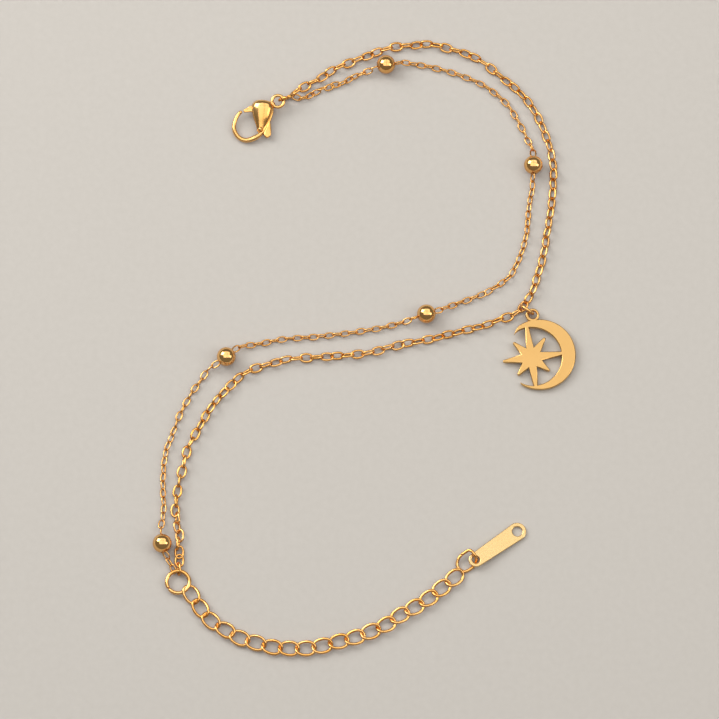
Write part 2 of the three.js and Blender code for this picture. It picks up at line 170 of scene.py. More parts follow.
for side_x in (-1, 1):
    for side_y in (-1, 1):
        reach = (PANEL_SIDE + PANEL_GAP) / 2
        place = (PANEL_MIDDLE[0] + side_x * reach, PANEL_MIDDLE[1] + side_y * reach, PANEL_HEIGHT)
        below = (place[0], place[1], 0.0)
        soft_panel(f"top_panel_{side_x}_{side_y}", place, below, PANEL_SIDE, PANEL_WATTS)
soft_panel("left_panel", (-0.50, 0.30, 0.45), (0.0, 0.0, 0.0), side=0.42, watts=3.0)
soft_panel(
    "right_panel", (0.55, -0.10, 0.40), (0.0, 0.0, 0.0), side=0.25, watts=0.6, tint=(1.0, 0.93, 0.84),
)


# ---- Clasp body ----
# A cast lobster clasp in gold-plated steel: a domed teardrop shell open on the gate's side,
# a hook that grows out of its rim, a riveted pivot and an eye. Tumbled to a high polish.

PIVOT = np.array(frame["record"]["behaviour"]["joints"][0]["pos_m"])
CLASP_TILT = math.radians(8)
CLASP_TILT_AXIS = np.array([0.81, -0.58, 0.0])
SHELL_LENGTH = 5.5
SHELL_LEAN = math.radians(-4.5)
SHELL_FLATNESS = 0.66
SHELL_WALL = 0.3
SHELL_MOUTH = math.radians(25)
HOOK_RADIUS = 0.41
RIM_RADIUS = 0.3
EYE_MIDDLE = (3.15, 5.15)
EYE_RADIUS = 1.08
EYE_WIRE = 0.3
RIVET_RADIUS = 0.43
RIVET_BASE = 0.32
RIVET_SHOULDER = 0.5
RIVET_CROWN = 0.42
PIN_RADIUS = 0.22
PIN_HALF = 0.4
NECK_HALF_WIDTH = 0.62
NECK_HALF_HEIGHT = 0.4


def clasp_place(points):
    """Points in the clasp's own plane and millimetres, turned by its tilt and set on its pivot."""
    axis = CLASP_TILT_AXIS / np.linalg.norm(CLASP_TILT_AXIS)
    points = np.asarray(points, float)
    along = (points @ axis)[..., None] * axis
    turned = (points * math.cos(CLASP_TILT) + np.cross(axis, points) * math.sin(CLASP_TILT)
              + along * (1 - math.cos(CLASP_TILT)))
    return turned * MM + PIVOT


def smooth_route(points, count):
    """A Catmull-Rom curve through the points, then evenly spaced along its length.
    Between two points it is the cubic that leaves each along the line of its neighbours."""
    given = np.asarray(points, float)
    ends = np.vstack([2 * given[0] - given[1], given, 2 * given[-1] - given[-2]])
    share = np.linspace(0, 1, 24, endpoint=False)[:, None]
    before, start, end, after = ends[:-3], ends[1:-2], ends[2:-1], ends[3:]
    cubic = 0.5 * (
        2 * start[:, None] + (end - before)[:, None] * share
        + (2 * before - 5 * start + 4 * end - after)[:, None] * share ** 2
        + (3 * start - before - 3 * end + after)[:, None] * share ** 3
    )
    dense = np.vstack([cubic.reshape(-1, given.shape[1]), given[-1:]])
    length = np.concatenate([[0], np.cumsum(np.linalg.norm(np.diff(dense, axis=0), axis=1))])
    even = np.linspace(0, length[-1], count)
    return np.stack([np.interp(even, length, column) for column in dense.T], 1)


def wave(value, power):
    """The value's size raised to a power, with its sign kept."""
    return np.sign(value) * np.abs(value) ** power


def swept(route, half_width, half_height, plane, sides=16, square=1.0):
    """An oval section carried along a route: half_width lies in the plane, half_height
    along the plane's normal. Both may change along the way; the ends round off to a point.
    A square below 1 raises the section's two waves to that power, which fills its corners."""
    route = np.asarray(route, float)
    tangent = np.gradient(route, axis=0)
    tangent /= np.linalg.norm(tangent, axis=1)[:, None]
    across = np.cross(tangent, plane)
    across /= np.linalg.norm(across, axis=1)[:, None]
    upward = np.cross(across, tangent)
    rows = len(route)
    half_width = np.broadcast_to(half_width, rows)
    half_height = np.broadcast_to(half_height, rows)
    turn = np.linspace(0, 2 * math.pi, sides, endpoint=False)
    body = (route[:, None]
            + half_width[:, None, None] * wave(np.cos(turn), square)[:, None] * across[:, None]
            + half_height[:, None, None] * wave(np.sin(turn), square)[:, None] * upward[:, None])
    rounding = np.radians([90, 65, 40, 18])[:, None, None]
    first = (route[0] + (body[0] - route[0]) * np.cos(rounding)
             - tangent[0] * half_height[0] * np.sin(rounding))
    last = (route[-1] + (body[-1] - route[-1]) * np.cos(rounding[::-1])
            + tangent[-1] * half_height[-1] * np.sin(rounding[::-1]))
    return np.concatenate([first, body, last])


def grid_mesh(name, surfaces):
    """One mesh from several grids of points, each wrapped round its second way and, where
    marked, round its first way too. Poles are merged and all faces turned outwards."""
    points, faces, start = [], [], 0
    for surface, wraps in surfaces:
        surface = np.asarray(surface, float)
        copies, rows, columns = surface.shape[0], surface.shape[1], surface.shape[2]
        row = np.arange(rows if wraps else rows - 1)
        here, there = row[:, None] * columns, ((row + 1) % rows)[:, None] * columns
        column = np.arange(columns)
        beside = (column + 1) % columns
        quads = np.stack([here + column, there + column, there + beside, here + beside], -1)
        every = quads.reshape(-1, 4)[None] + (np.arange(copies) * rows * columns)[:, None, None] + start
        points.append(surface.reshape(-1, 3))
        faces.append(every.reshape(-1, 4))
        start += copies * rows * columns
    mesh = bpy.data.meshes.new(name)
    mesh.from_pydata(np.vstack(points).tolist(), [], np.vstack(faces).tolist())
    work = bmesh.new()
    work.from_mesh(mesh)
    bmesh.ops.remove_doubles(work, verts=work.verts, dist=2e-7)
    bmesh.ops.recalc_face_normals(work, faces=work.faces)
    work.to_mesh(mesh)
    work.free()
    mesh.polygons.foreach_set("use_smooth", np.ones(len(mesh.polygons), bool))
    return mesh


# Painted shade on the sides of the wires: where it begins in the normal's height, and the span over which
# it deepens
PAINTED_SHADE_START = 0.8
PAINTED_SHADE_SPAN = 1.2


def mark_painted_shade(mesh):
    """Stores, for each point, how far its surface has turned from facing up: 0 down to the
    painted shade's start in the normal's height, and rising evenly to 1 over its span. This
    is the mask of the painted shade on the sides of the wires."""
    turned = np.empty(len(mesh.vertices) * 3)
    mesh.vertex_normals.foreach_get("vector", turned)
    painted_shade = np.clip((PAINTED_SHADE_START - turned[2::3]) / PAINTED_SHADE_SPAN, 0, 1)
    mesh.attributes.new("painted_shade", "FLOAT", "POINT").data.foreach_set("value", painted_shade)


def fitted(name, mesh, material, nodes, body="anklet"):
    """Puts the finished mesh on its body, in place of its CAD nodes."""
    # Stores the mask of painted shade on the sides, which the plated metals read
    mark_painted_shade(mesh)
    piece = bpy.data.objects.new(name, mesh)
    bpy.context.scene.collection.objects.link(piece)
    mesh.materials.append(material)
    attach(piece, body)
    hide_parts(*nodes)


def carried(nodes, links, value, low, high):
    """A value from 0 to 1 carried evenly onto the range from low to high."""
    onto = nodes.new("ShaderNodeMapRange")
    onto.inputs["To Min"].default_value = low
    onto.inputs["To Max"].default_value = high
    links.new(value, onto.inputs["Value"])
    return onto.outputs["Result"]


# The dark red-brown of the painted shade on the sides of the wires, standing in for dark reflections
PAINTED_SHADE_COLOUR = (0.42, 0.13, 0.015)


def plated_metal(name, bright, deep, roughness, mottle, grain, grain_depth, painted_shade_depth):
    """Gold plate over polished steel. Slow noise mixes a brighter and a deeper gold, a second
    noise varies the roughness, and fine grain gives the bump its tumbled micro-texture. The
    sides of the wire carry painted shade: where they turn from facing up, they are toned darker
    and redder, by as much as the painted shade depth. This stands in for dark reflections, so
    that thin wires stand out from a pale surface."""
    material, nodes, links, shader, where = started_material(name)
    shader.inputs["Metallic"].default_value = 1.0
    spread = nodes.new("ShaderNodeMapRange")
    spread.inputs["From Min"].default_value = 0.3
    spread.inputs["From Max"].default_value = 0.7
    links.new(noise(nodes, links, where, mottle, 3.0), spread.inputs["Value"])
    tone = two_tones(nodes, links, spread.outputs["Result"], deep, bright)
    # Painted shade: the stored mask mixes the sides of the wire towards a dark red-brown
    painted_shade = nodes.new("ShaderNodeAttribute")
    painted_shade.attribute_name = "painted_shade"
    amount = carried(nodes, links, painted_shade.outputs["Fac"], 0.0, painted_shade_depth)
    shade = nodes.new("ShaderNodeMix")
    shade.data_type = "RGBA"
    shade.inputs["B"].default_value = (*PAINTED_SHADE_COLOUR, 1)
    links.new(amount, shade.inputs["Factor"])
    links.new(tone, shade.inputs["A"])
    links.new(shade.outputs["Result"], shader.inputs["Base Color"])
    worn = noise(nodes, links, where, mottle * 2.7, 4.0)
    gloss = carried(nodes, links, worn, roughness * 0.75, roughness * 1.3)
    links.new(gloss, shader.inputs["Roughness"])
    grained(nodes, links, shader, noise(nodes, links, where, grain, 2.0), 1.0, grain_depth)
    return material


clasp_metal = plated_metal(
    "polished_gold_cast", (0.97, 0.61, 0.25), (0.88, 0.48, 0.14), roughness=0.19, mottle=260.0,
    grain=4000.0, grain_depth=4e-7, painted_shade_depth=0.6,
)

SHELL_OUTLINE = [
    (0.02, -0.42), (0.36, -0.36), (0.64, -0.1), (0.86, 0.4), (1.16, 1.1), (1.6, 2.1), (1.9, 3.1),
    (2.04, 3.95), (1.97, 4.55), (1.58, 5.05), (0.95, 5.36), (0.02, SHELL_LENGTH),
]


def shell_surface():
    """A C-shaped section, thick as the wall, carried up the shell's axis and scaled to the
    teardrop's width. Its mouth faces the gate; at both ends it shrinks to a point."""
    half, height = smooth_route(SHELL_OUTLINE, 56).T
    sweep_angle = np.linspace(math.pi + SHELL_MOUTH, 3 * math.pi - SHELL_MOUTH, 40)
    outer = np.stack([np.cos(sweep_angle), np.sin(sweep_angle)], 1)
    half = np.maximum(half, 0.001)
    inward = np.clip(1 - SHELL_WALL / half, 0.15, 1)
    outside = half[:, None, None] * outer[None]
    inside = outside[:, ::-1] * inward[:, None, None]
    loop = np.concatenate([outside, inside], axis=1)
    x, z = loop[..., 0], loop[..., 1] * SHELL_FLATNESS
    y = np.broadcast_to(height[:, None], x.shape)
    cosine, sine = math.cos(SHELL_LEAN), math.sin(SHELL_LEAN)
    return np.stack([x * cosine - y * sine, x * sine + y * cosine, z], -1)


def turned_round(profile, middle, sides=40):
    """A profile of radius and height turned round the clasp's normal at a point of its plane."""
    profile = np.asarray(profile, float)
    turn = np.linspace(0, 2 * math.pi, sides, endpoint=False)
    return np.stack([
        middle[0] + profile[:, :1] * np.cos(turn),
        middle[1] + profile[:, :1] * np.sin(turn),
        np.broadcast_to(profile[:, 1:], (len(profile), sides)),
    ], -1)


HOOK_LINE = [
    (2.2, 4.15), (2.12, 3.2), (1.82, 2.2), (1.38, 1.2), (0.9, 0.3), (0.36, -0.45), (-0.24, -1.0),
    (-0.84, -1.38), (-1.42, -1.66), (-2.05, -1.85), (-2.72, -1.9), (-3.42, -1.7), (-4.12, -1.18),
    (-4.62, -0.4), (-4.82, 0.5), (-4.7, 1.4), (-4.37, 2.3), (-3.93, 2.98), (-3.62, 3.28),
]
HOOK_POINTS = 110
# Half the hook's width and height at these shares of its line, from the rim to the hook's tip
HOOK_SHARES = [0, 0.3, 0.45, 0.6, 0.93, 1]
HOOK_HALF_WIDTHS = [0.2, RIM_RADIUS, 0.5, HOOK_RADIUS, 0.36, 0.32]
HOOK_HALF_HEIGHTS = [0.2, 0.36, 0.52, HOOK_RADIUS, 0.36, 0.32]
UP = np.array([0.0, 0.0, 1.0])
hook_line = smooth_route([(x, y, 0.0) for x, y in HOOK_LINE], HOOK_POINTS)
hook_share = np.linspace(0, 1, HOOK_POINTS)
hook_width = np.interp(hook_share, HOOK_SHARES, HOOK_HALF_WIDTHS)
hook_height = np.interp(hook_share, HOOK_SHARES, HOOK_HALF_HEIGHTS)

eye_turn = np.linspace(0, 2 * math.pi, 56, endpoint=False)
eye_out = np.stack([np.cos(eye_turn), np.sin(eye_turn), 0 * eye_turn], 1)
eye_line = [*EYE_MIDDLE, 0.0] + EYE_RADIUS * eye_out
wire_turn = np.linspace(0, 2 * math.pi, 16, endpoint=False)
eye_surface = (eye_line[:, None] + EYE_WIRE * np.cos(wire_turn)[:, None] * eye_out[:, None]
               + EYE_WIRE * np.sin(wire_turn)[:, None] * UP)

neck_line = smooth_route([(1.3, 4.05, 0.0), (1.75, 4.4, 0.0), (2.2, 4.72, 0.0)], 12)

rivet_angle = np.radians(np.linspace(90, 0, 10))
rivets = []
for sign in (1, -1):
    cap = np.stack([
        RIVET_RADIUS * np.cos(rivet_angle), RIVET_SHOULDER + RIVET_CROWN * np.sin(rivet_angle),
    ], 1)
    profile = np.vstack([cap, [[RIVET_RADIUS, RIVET_BASE], [0.0, RIVET_BASE]]])
    rivets.append(turned_round(profile * [1, sign], (0.0, 0.0)))
pin = turned_round(
    [(0.0, PIN_HALF), (PIN_RADIUS, PIN_HALF), (PIN_RADIUS, -PIN_HALF), (0.0, -PIN_HALF)], (0.0, 0.0), 24,
)

clasp_mesh = grid_mesh("clasp_body_mesh", [
    (clasp_place(shell_surface())[None], False),
    (clasp_place(swept(hook_line, hook_width, hook_height, UP))[None], False),
    (clasp_place(eye_surface)[None], True),
    (clasp_place(swept(neck_line, NECK_HALF_WIDTH, NECK_HALF_HEIGHT, UP))[None], False),
    (clasp_place(rivets[0])[None], False),
    (clasp_place(rivets[1])[None], False),
    (clasp_place(pin)[None], False),
])
fitted("clasp_case", clasp_mesh, clasp_metal, ["clasp_body"])

# ---- Clasp lever ----
# The sprung gate, cast with its thumb tab: it turns on the rivet inside the shell, its
# straight tab bars the hook's mouth and its spoon-shaped end is pushed by the thumb.

GATE_LINE = [
    (-2.9, 3.5, 0.0), (-2.3, 3.66, 0.0), (-1.6, 3.86, 0.0), (-1.0, 3.4, 0.0), (-0.6, 2.1, 0.0),
    (-0.2, 0.9, 0.0), (0.05, 0.2, 0.0),
]
THUMB_LINE = [
    (1.62, 1.3, 0.0), (1.52, 0.6, 0.0), (1.34, -0.1, 0.0), (1.22, -0.65, 0.0), (1.18, -1.32, 0.0),
]
BRIDGE_LINE = [(0.3, 0.35, 0.0), (0.8, 0.42, 0.0), (1.5, 0.2, 0.0)]
# Half widths at shares of each line: the gate from its free end, the thumb tab from its root
GATE_SHARES = [0, 0.12, 0.25, 0.33, 0.5, 0.8, 1.0]
GATE_HALF_WIDTHS = [0.3, 0.44, 0.62, 0.58, 0.44, 0.38, 0.34]
THUMB_SHARES = [0, 0.25, 0.5, 0.7, 0.85, 0.94, 1.0]
THUMB_HALF_WIDTHS = [0.16, 0.34, 0.58, 0.7, 0.68, 0.58, 0.42]
BRIDGE_HALF_WIDTH = 0.34
LEVER_HALF = 0.2
HUB_BORE = 0.42
HUB_RADIUS = 0.7
gate_line = smooth_route(GATE_LINE, 60)
gate_width = np.interp(np.linspace(0, 1, 60), GATE_SHARES, GATE_HALF_WIDTHS)
thumb_line = smooth_route(THUMB_LINE, 36)
thumb_width = np.interp(np.linspace(0, 1, 36), THUMB_SHARES, THUMB_HALF_WIDTHS)
bridge_line = smooth_route(BRIDGE_LINE, 16)
hub = turned_round([
    (HUB_BORE, LEVER_HALF), (HUB_RADIUS, LEVER_HALF), (HUB_RADIUS, -LEVER_HALF), (HUB_BORE, -LEVER_HALF),
], (0.0, 0.0))
lever_mesh = grid_mesh("clasp_lever_mesh", [
    (clasp_place(swept(gate_line, gate_width, LEVER_HALF, UP, 24, 0.5))[None], False),
    (clasp_place(swept(thumb_line, thumb_width, LEVER_HALF * 1.25, UP, 24, 0.8))[None], False),
    (clasp_place(swept(bridge_line, BRIDGE_HALF_WIDTH, LEVER_HALF * 0.9, UP, 16, 0.6))[None], False),
    (clasp_place(hub)[None], True),
])
fitted("clasp_gate", lever_mesh, clasp_metal, ["clasp_lever"], "lever")

# ---- Jump rings ----
# Rings of round drawn wire, bent shut until the ends butt. One holds both chains on the
# clasp's eye, one hangs the pendant, and the largest ends both chains.

wire_metal = plated_metal(
    "gold_plated_wire", (0.99, 0.59, 0.23), (0.86, 0.43, 0.10), roughness=0.16, mottle=300.0,
    grain=3500.0, grain_depth=2e-6, painted_shade_depth=0.85,
)
RING_LEAN = np.array([0.0, -0.276, 0.961])
RING_GAP = 0.01


def jump_ring(node, radius, wire_radius, along, upward, split):
    """A circle of the ring's radius in the plane of two directions, about the middle of its
    node's box, swept by a round wire; a hair of a gap is left at the split's turn."""
    low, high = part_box(node)
    middle = (np.array(low) + np.array(high)) / 2
    along = np.asarray(along, float) / np.linalg.norm(along)
    upward = np.asarray(upward, float) - np.dot(upward, along) * along
    upward /= np.linalg.norm(upward)
    half_gap = (RING_GAP + wire_radius) / radius
    turn = np.linspace(split + half_gap, split + 2 * math.pi - half_gap, 72)[:, None]
    line = middle + radius * MM * (np.cos(turn) * along + np.sin(turn) * upward)
    thick = wire_radius * MM
    wire = swept(line, thick, thick, np.cross(along, upward), 14)
    mesh = grid_mesh(node + "_mesh", [(wire[None], False)])
    fitted(node + "_wire", mesh, wire_metal, [node])


jump_ring("clasp_ring", 1.33, 0.31, (0.936, 0.35, 0.0), RING_LEAN, math.pi / 2)
jump_ring("pendant_ring", 1.28, 0.28, (0.81, -0.59, 0.0), RING_LEAN, -math.pi / 2)
jump_ring("end_ring", 2.0, 0.34, (1.0, 0.0, 0.0), (0.0, 1.0, 0.0), math.pi * 1.2)

# ---- Main chain ----
# A plain cable chain of oval soldered links, each turned against the last. Laid down, it
# twists slowly, so that the links show now flat, now on edge. The pendant hangs at its bend.

# Added to the chains' routes, this brings the middle of the laid-out anklet to the origin
SHIFT = np.array([0.24, -0.69, 0.0])
MAIN_PITCH = 1.82
MAIN_LINK = (2.6, 1.8, 0.41)
MAIN_LEVEL = 0.8
LINK_FULLNESS = 0.88
LINK_CLEARANCE = 0.012
ROUTE_POINTS = 1200
ROLL_LOOSE = 7
SWING_LOOSE = 0.08


def link_shape(length, width, wire, around, sides, twist=0.0):
    """A wire carried round an oval: the oval's two waves are drawn out a little towards a
    box, and the whole is twisted about its length by the given angle from middle to end."""
    turn = np.linspace(0, 2 * math.pi, around, endpoint=False)
    cosine, sine = np.cos(turn), np.sin(turn)
    x = (length - wire) / 2 * wave(cosine, LINK_FULLNESS)
    y = (width - wire) / 2 * wave(sine, LINK_FULLNESS)
    line = np.stack([x, y, 0 * x], 1)
    tangent = np.roll(line, -1, 0) - np.roll(line, 1, 0)
    tangent /= np.linalg.norm(tangent, axis=1)[:, None]
    outward = np.stack([tangent[:, 1], -tangent[:, 0], 0 * x], 1)
    section = np.linspace(0, 2 * math.pi, sides, endpoint=False)[:, None]
    link = line[:, None] + wire / 2 * (np.cos(section) * outward[:, None] + np.sin(section) * UP)
    angle = twist * link[..., 0] / (length / 2)
    return np.stack([
        link[..., 0],
        link[..., 1] * np.cos(angle) - link[..., 2] * np.sin(angle),
        link[..., 1] * np.sin(angle) + link[..., 2] * np.cos(angle),
    ], -1)


def laid_links(route, pitch, link, shape, roll, level, seed, loose=0.05):
    """Copies of one link evenly spaced along a route. Each points along the route and is
    rolled about it by its own angle. On edge it stands on its side, and flat it sinks until
    it hangs on its neighbours; the level is the route's own height where the chain lies
    down. Small seeded random shifts and turns keep the row from looking machine-laid."""
    dense = smooth_route(route, ROUTE_POINTS)
    length = np.linalg.norm(np.diff(dense, axis=0), axis=1).sum()
    count = max(1, round(length / pitch))
    share = (np.arange(count) + 0.5) / count
    given = np.linspace(0, 1, ROUTE_POINTS)
    place = np.stack([np.interp(share, given, column) for column in dense.T], 1)
    tangent = np.gradient(dense, axis=0)
    along = np.stack([np.interp(share, given, column) for column in tangent.T], 1)
    chance = np.random.default_rng(seed)
    roll = np.asarray(roll(np.arange(count)), float) + chance.uniform(-ROLL_LOOSE, ROLL_LOOSE, count)
    roll = np.radians(roll)
    along /= np.linalg.norm(along, axis=1)[:, None]
    across = np.cross(UP, along)
    across /= np.linalg.norm(across, axis=1)[:, None]
    swing = chance.uniform(-SWING_LOOSE, SWING_LOOSE, count)[:, None]
    along = along + swing * across
    along /= np.linalg.norm(along, axis=1)[:, None]
    across = np.cross(UP, along)
    across /= np.linalg.norm(across, axis=1)[:, None]
    upward = np.cross(along, across)
    place = place + loose * chance.uniform(-1, 1, count)[:, None] * across
    width, wire = link[1:]
    resting = np.maximum(1.5 * wire, (width - wire) / 2 * np.abs(np.sin(roll)) + wire / 2)
    place[:, 2] += resting - level + LINK_CLEARANCE
    cosine, sine = np.cos(roll)[:, None], np.sin(roll)[:, None]
    side = cosine * across + sine * upward
    normal = cosine * upward - sine * across
    links = (place[:, None, None] + shape[None, ..., :1] * along[:, None, None]
             + shape[None, ..., 1:2] * side[:, None, None] + shape[None, ..., 2:] * normal[:, None, None])
    return (links + SHIFT) * MM


def twisting(*stretches):
    """The roll of each link, in degrees, from stretches of (how many links, first roll,
    turn from one link to the next); the last stretch runs on as far as it is needed."""
    def roll(number):
        angles, start = [], 0
        for count, first, step in stretches:
            angles.append(first + step * np.arange(count))
            start += count
        angles.append(angles[-1][-1] + stretches[-1][2] * (1 + np.arange(200)))
        return np.concatenate(angles)[number]
    return roll


MAIN_CLASP_SIDE = [
    (-13.35, 47.45, 0.8),
    (-12.75, 48.2, 0.8), (-10.6, 49.5, 0.8), (-8.4, 50.7, 0.8), (-5.6, 52.6, 0.8), (-2.1, 54.1, 0.8),
    (1.2, 55.4, 0.8), (4.5, 56.6, 0.8), (8.0, 56.95, 0.8), (11.6, 57.2, 0.8), (15.0, 56.35, 0.8),
    (18.4, 55.2, 0.8), (21.5, 53.4, 0.8), (24.2, 51.0, 0.8), (27.0, 48.6, 0.8), (29.4, 45.85, 0.8),
    (31.2, 42.75, 0.8), (32.5, 39.3, 0.8), (33.45, 35.5, 0.8), (33.65, 31.9, 0.8), (33.4, 28.2, 0.8),
    (32.95, 24.6, 0.8), (32.3, 20.7, 0.8), (31.65, 17.1, 0.8), (30.7, 13.5, 0.8), (29.5, 10.1, 0.8),
    (28.7, 8.7, 0.8), (27.5, 6.85, 0.8),
]
MAIN_TAIL_SIDE = [
    (27.4, 7.0, 0.8),
    (27.0, 6.6, 0.8), (25.7, 5.8, 0.8), (24.0, 5.25, 0.8), (21.6, 4.25, 0.8), (18.1, 3.35, 0.8),
    (14.6, 2.4, 0.8), (10.95, 1.45, 0.8), (7.5, 0.8, 0.8), (3.85, -0.05, 0.8), (0.4, -1.0, 0.8),
    (-3.2, -1.45, 0.8), (-6.9, -1.7, 0.8), (-10.3, -1.95, 0.8), (-13.9, -2.2, 0.8), (-17.2, -3.1, 0.8),
    (-20.7, -4.3, 0.8), (-23.4, -6.15, 0.8), (-25.95, -8.85, 0.8), (-28.2, -11.9, 0.8), (-30.0, -15.2, 0.8),
    (-31.7, -18.5, 0.8), (-32.65, -22.15, 0.8), (-33.45, -25.7, 0.8), (-33.9, -29.3, 0.8),
    (-33.55, -32.3, 0.8), (-33.25, -34.7, 0.8), (-33.25, -36.6, 0.8), (-33.4, -38.6, 0.8),
    (-33.5, -40.3, 0.8), (-33.5, -41.5, 0.8),
]
main_link = link_shape(*MAIN_LINK, 20, 8)
clasp_side = laid_links(
    MAIN_CLASP_SIDE, MAIN_PITCH, MAIN_LINK, main_link,
    twisting((24, -54, 72), (24, 45, 90), (2, 20, 90)), MAIN_LEVEL, seed=3,
)
fitted(
    "main_links_clasp_side", grid_mesh("main_clasp_side_mesh", [(clasp_side, True)]),
    wire_metal, ["main_chain_clasp_side"],
)
# From this point of its route the chain's end lies slack, its links drawn together
TAIL_SLACK_FROM = 24
TAIL_SLACK_PITCH = 1.48
TAIL_SLACK_LOOSE = 0.34
tail_side = np.concatenate([
    laid_links(
        MAIN_TAIL_SIDE[:TAIL_SLACK_FROM + 1], MAIN_PITCH, MAIN_LINK, main_link,
        twisting((4, 90, 72), (8, 45, 90), (5, 0, 90), (13, 54, 72), (16, 30, 96)), MAIN_LEVEL, seed=5,
    ),
    laid_links(
        MAIN_TAIL_SIDE[TAIL_SLACK_FROM:], TAIL_SLACK_PITCH, MAIN_LINK, main_link,
        twisting((3, 10, 60), (3, 20, 75), (20, 0, 65)), MAIN_LEVEL, seed=9, loose=TAIL_SLACK_LOOSE,
    ),
])
fitted(
    "main_links_tail_side", grid_mesh("main_tail_side_mesh", [(tail_side, True)]),
    wire_metal, ["main_chain_tail_side"],
)

# ---- Beaded chain ----
# A finer cable chain of the same make, in six stretches between the clasp's ring, the five
# balls and the end ring. Near each ball it climbs to the ball's bore, and the first stretch
# lies slack, its links drawn together.

FINE_PITCH = 1.43
FINE_LINK = (2.02, 1.26, 0.29)
FINE_LEVEL = 0.6
BEAD_CHAIN = [
    [
        (-13.3, 47.15, 0.9), (-12.4, 46.95, 0.7),
        (-11.5, 46.95, 0.6), (-10.4, 47.45, 0.6), (-9.2, 48.2, 0.6), (-7.9, 48.75, 0.6),
        (-6.3, 49.35, 0.6), (-4.5, 49.75, 0.6), (-2.5, 50.95, 0.65), (-1.3, 51.5, 0.8),
        (-0.1, 51.95, 1.15), (1.5, 52.5, 1.5), (1.95, 52.65, 1.6),
    ],
    [
        (5.1, 53.3, 1.6),
        (5.5, 53.35, 1.5), (6.95, 53.6, 1.05), (8.35, 53.45, 0.7), (9.7, 53.25, 0.6),
        (12.45, 52.7, 0.6), (15.35, 51.85, 0.6), (18.05, 50.9, 0.6), (20.65, 49.7, 0.6),
        (23.05, 48.05, 0.6), (25.3, 45.9, 0.6), (26.85, 43.45, 0.6), (28.3, 40.75, 0.6),
        (28.85, 39.5, 0.6), (29.4, 38.2, 0.8), (29.85, 37.2, 1.1), (29.95, 36.05, 1.5),
        (29.97, 35.5, 1.6),
    ],
    [
        (29.95, 32.3, 1.6),
        (29.9, 31.8, 1.5), (29.85, 30.4, 0.95), (29.6, 28.7, 0.6), (29.3, 27.1, 0.6),
        (29.0, 24.1, 0.6), (28.7, 21.2, 0.6), (28.0, 18.5, 0.6), (26.9, 15.6, 0.6),
        (25.4, 13.1, 0.6), (23.1, 11.3, 0.6), (20.6, 9.9, 0.6), (17.9, 8.85, 0.6),
        (16.4, 8.3, 0.6), (15.1, 7.75, 0.8), (13.9, 7.2, 1.1), (12.65, 6.65, 1.5),
        (12.2, 6.45, 1.6),
    ],
    [
        (9.1, 5.45, 1.6),
        (8.65, 5.3, 1.5), (7.2, 4.85, 0.95), (5.6, 4.45, 0.6), (3.75, 3.95, 0.6),
        (0.9, 3.4, 0.6), (-1.95, 2.9, 0.6), (-4.85, 2.5, 0.6), (-7.7, 2.2, 0.6),
        (-10.6, 1.9, 0.6), (-13.5, 1.75, 0.6), (-16.0, 1.4, 0.6), (-18.7, 0.8, 0.6),
        (-20.4, 0.5, 0.6), (-21.6, 0.3, 0.8), (-22.7, -0.05, 1.15), (-23.5, -0.6, 1.5),
        (-23.8, -0.9, 1.6),
    ],
    [
        (-26.3, -2.95, 1.6),
        (-26.75, -3.2, 1.5), (-27.8, -3.85, 1.1), (-28.6, -4.6, 0.75), (-29.35, -5.7, 0.6),
        (-31.0, -8.1, 0.6), (-32.4, -10.6, 0.6), (-33.6, -13.3, 0.6), (-34.6, -16.1, 0.6),
        (-35.55, -18.8, 0.6), (-36.0, -21.6, 0.6), (-36.15, -24.5, 0.6), (-36.1, -27.2, 0.6),
        (-36.0, -29.7, 0.6), (-36.15, -31.4, 0.75), (-36.35, -32.9, 1.1), (-36.35, -34.15, 1.5),
        (-36.3, -34.7, 1.6),
    ],
    [
        (-35.85, -37.8, 1.6),
        (-35.45, -38.3, 1.4), (-35.2, -38.8, 1.1), (-35.0, -39.3, 0.8), (-34.4, -40.3, 0.8),
        (-33.9, -41.3, 0.8),
    ],
]
FINE_TWIST = [
    twisting((6, 20, 70), (20, 10, 75)), twisting((60, 90, 90)), twisting((18, 50, 90), (20, 0, 90)),
    twisting((60, 90, 90)), twisting((10, 0, 90), (12, 35, 90), (20, 0, 90)), twisting((4, 40, 90)),
]
FINE_LOOSE = 0.04
FINE_SLACK_PITCH = 1.24
FINE_SLACK_LOOSE = 0.2
fine_link = link_shape(*FINE_LINK, 16, 6)
for number, (route, twist) in enumerate(zip(BEAD_CHAIN, FINE_TWIST), 1):
    pitch, loose = (FINE_SLACK_PITCH, FINE_SLACK_LOOSE) if number == 1 else (FINE_PITCH, FINE_LOOSE)
    links = laid_links(route, pitch, FINE_LINK, fine_link, twist, FINE_LEVEL, seed=20 + number, loose=loose)
    fitted(
        f"fine_links_{number}", grid_mesh(f"fine_links_{number}_mesh", [(links, True)]),
        wire_metal, [f"bead_chain_{number}"],
    )

# ---- Ball beads ----
# Hollow balls spun from plated steel and polished like mirrors, threaded on the finer chain
# through a bore whose lip is rolled in.

BEAD_RADIUS = 1.7
BEAD_BORE_RADIUS = 0.45
BEAD_LIP = 0.09
BEAD_BORE_ANGLE = [12, 92, 18, 38, 100]
bead_metal = plated_metal(
    "mirror_gold", (0.96, 0.60, 0.24), (0.90, 0.52, 0.18), roughness=0.10, mottle=180.0,
    grain=2500.0, grain_depth=5e-7, painted_shade_depth=0.85,
)


